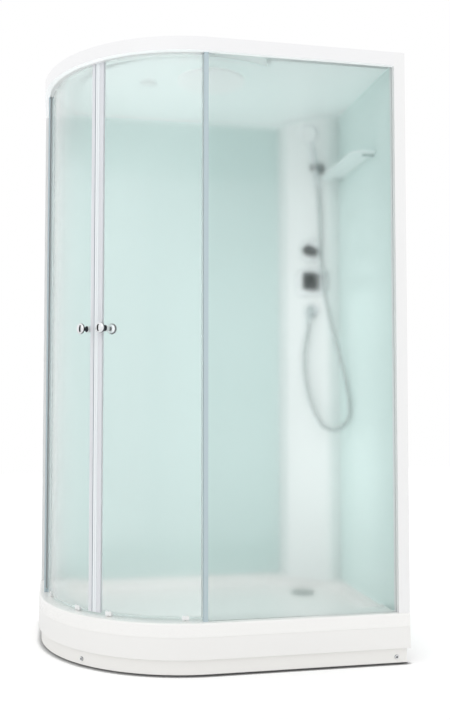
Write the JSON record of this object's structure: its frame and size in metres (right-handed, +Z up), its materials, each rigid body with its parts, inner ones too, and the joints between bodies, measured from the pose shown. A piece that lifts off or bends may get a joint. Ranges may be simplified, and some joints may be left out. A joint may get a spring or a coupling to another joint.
{
  "type": "shower cabin",
  "caption": "Offset-quadrant shower cabin on a low tray, with bent sliding doors, fixed panes, wall panels, corner column with mixer, hand shower and rain shower, and a roof.",
  "frame": {"origin": "centre of the footprint on the floor", "axes": "+Z up, +Y towards the back wall, +X towards the side wall; the rounded corner is at -X -Y"},
  "size_m": [1.2, 0.8, 2.03],
  "materials": {
    "white_acrylic": "gloss white sanitary acrylic",
    "white_paint": "satin white powder coat on aluminium profile",
    "mint_panel": "gloss pale mint acrylic sheet",
    "roof_shell": "gloss white acrylic",
    "frosted_glass": "satin tempered safety glass",
    "clear_seal": "translucent soft plastic",
    "white_plastic": "white moulded plastic",
    "chrome": "polished chrome plate",
    "steel": "zinc-plated steel",
    "brass": "plain brass",
    "hose_metal": "metal spiral shower hose",
    "soft_washer": "clear soft washer",
    "grey_spray": "pale spray face",
    "lamp_lens": "opal lens",
    "shelf_glass": "pale translucent shelf"
  },
  "bodies": {
    "cabin": {"apron": "white_acrylic", "back_panel": "mint_panel", "base_frame": "white_paint", "column": "mint_panel", "corner_profile": "white_paint", "diverter_body": "brass", "diverter_rose": "chrome", "drain_trap": "white_plastic", "foot_nuts": "steel", "foot_pads": "white_plastic", "foot_studs": "steel", "front_glass": "frosted_glass", "holder_bracket": "chrome", "hose_outlet": "chrome", "lamp_lens": "lamp_lens", "mixer_body": "brass", "mixer_plate": "chrome", "panel_screws": "steel", "plinth": "white_acrylic", "plinth_screws": "chrome", "post_left": "white_paint", "post_right": "white_paint", "post_seals": "clear_seal", "rain_arm": "chrome", "roller_track": "white_plastic", "roof": "roof_shell", "roof_lamp": "white_plastic", "shelf": "shelf_glass", "shelf_brackets": "chrome", "shower_hose": "hose_metal", "side_glass": "frosted_glass", "side_panel": "mint_panel", "side_profile": "white_paint", "supply_pipes": "brass", "top_rail": "white_paint", "tray": "white_acrylic"},
    "door_right": {"door_right": "frosted_glass", "door_seal_right": "clear_seal", "hangers_right": "steel", "guides_right": "white_plastic", "knob_right": "chrome", "knob_washers_right": "soft_washer"},
    "door_left": {"door_left": "frosted_glass", "door_seal_left": "clear_seal", "hangers_left": "steel", "guides_left": "white_plastic", "knob_left": "chrome", "knob_washers_left": "soft_washer"},
    "wheel_right_front": {"roller_right_front": "white_plastic"},
    "wheel_right_rear": {"roller_right_rear": "white_plastic"},
    "wheel_left_front": {"roller_left_front": "white_plastic"},
    "wheel_left_rear": {"roller_left_rear": "white_plastic"},
    "mixer_stem": {"mixer_spindle": "chrome"},
    "mixer_lever": {"mixer_handle": "chrome"},
    "diverter": {"diverter_knob": "chrome"},
    "drain_lid": {"drain_cover": "chrome"},
    "holder": {"holder_fork": "chrome"},
    "handset": {"hand_shower": "chrome", "spray_face": "grey_spray"},
    "rain_head": {"rain_shower": "chrome"}
  },
  "joints": [
    {"name": "door_right_slide", "type": "hinge", "parent": "cabin", "child": "door_right", "pos_m": [-0.06, 0.14, 1], "axis": [0, 0, 1], "range_deg": [0, 31]},
    {"name": "door_left_slide", "type": "hinge", "parent": "cabin", "child": "door_left", "pos_m": [-0.06, 0.14, 1], "axis": [0, 0, -1], "range_deg": [0, 26]},
    {"name": "wheel_right_front_spin", "type": "hinge", "parent": "door_right", "child": "wheel_right_front", "pos_m": [-0.13481, -0.34324, 1.9988], "axis": [-0.153, -0.9882, 0], "range_deg": [-1598, 5]},
    {"name": "wheel_right_rear_spin", "type": "hinge", "parent": "door_right", "child": "wheel_right_rear", "pos_m": [-0.36441, -0.24269, 1.9988], "axis": [-0.6225, -0.7826, 0], "range_deg": [-1598, 5]},
    {"name": "wheel_left_front_spin", "type": "hinge", "parent": "door_left", "child": "wheel_left_front", "pos_m": [-0.44534, -0.16106, 1.9988], "axis": [-0.788, -0.6157, 0], "range_deg": [-5, 1341]},
    {"name": "wheel_left_rear_spin", "type": "hinge", "parent": "door_left", "child": "wheel_left_rear", "pos_m": [-0.54324, 0.06519, 1.9988], "axis": [-0.9882, -0.153, 0], "range_deg": [-5, 1341]},
    {"name": "mixer_turn", "type": "hinge", "parent": "cabin", "child": "mixer_stem", "pos_m": [0.46193, 0.2329, 1.33], "axis": [-0.6673, -0.7448, 0], "range_deg": [-50, 50]},
    {"name": "mixer_lift", "type": "hinge", "parent": "mixer_stem", "child": "mixer_lever", "pos_m": [0.44458, 0.21354, 1.33], "axis": [0.7448, -0.6673, 0], "range_deg": [0, 9]},
    {"name": "diverter_turn", "type": "hinge", "parent": "cabin", "child": "diverter", "pos_m": [0.44859, 0.21801, 1.458], "axis": [-0.6673, -0.7448, 0], "range_deg": [-90, 90]},
    {"name": "drain_lift", "type": "slide", "parent": "cabin", "child": "drain_lid", "axis": [0, 0, 1], "range_m": [0, 0.015]},
    {"name": "holder_tilt", "type": "hinge", "parent": "cabin", "child": "holder", "pos_m": [0.47956, 0.19563, 1.787], "axis": [0.7448, -0.6673, 0], "range_deg": [-15, 0]},
    {"name": "handset_lift", "type": "slide", "parent": "holder", "child": "handset", "axis": [-0.2282, -0.2547, 0.9397], "range_m": [0, 0.03]},
    {"name": "rain_tilt", "type": "hinge", "parent": "cabin", "child": "rain_head", "pos_m": [-0.022, -0.165, 1.988], "axis": [1, 0, 0], "range_deg": [-10, 10]}
  ],
  "couplings": [
    {"joint": "wheel_right_front_spin", "follows": "door_right_slide", "ratio": -51.474},
    {"joint": "wheel_right_rear_spin", "follows": "door_right_slide", "ratio": -51.474},
    {"joint": "wheel_left_front_spin", "follows": "door_left_slide", "ratio": 51.474},
    {"joint": "wheel_left_rear_spin", "follows": "door_left_slide", "ratio": 51.474}
  ]
}
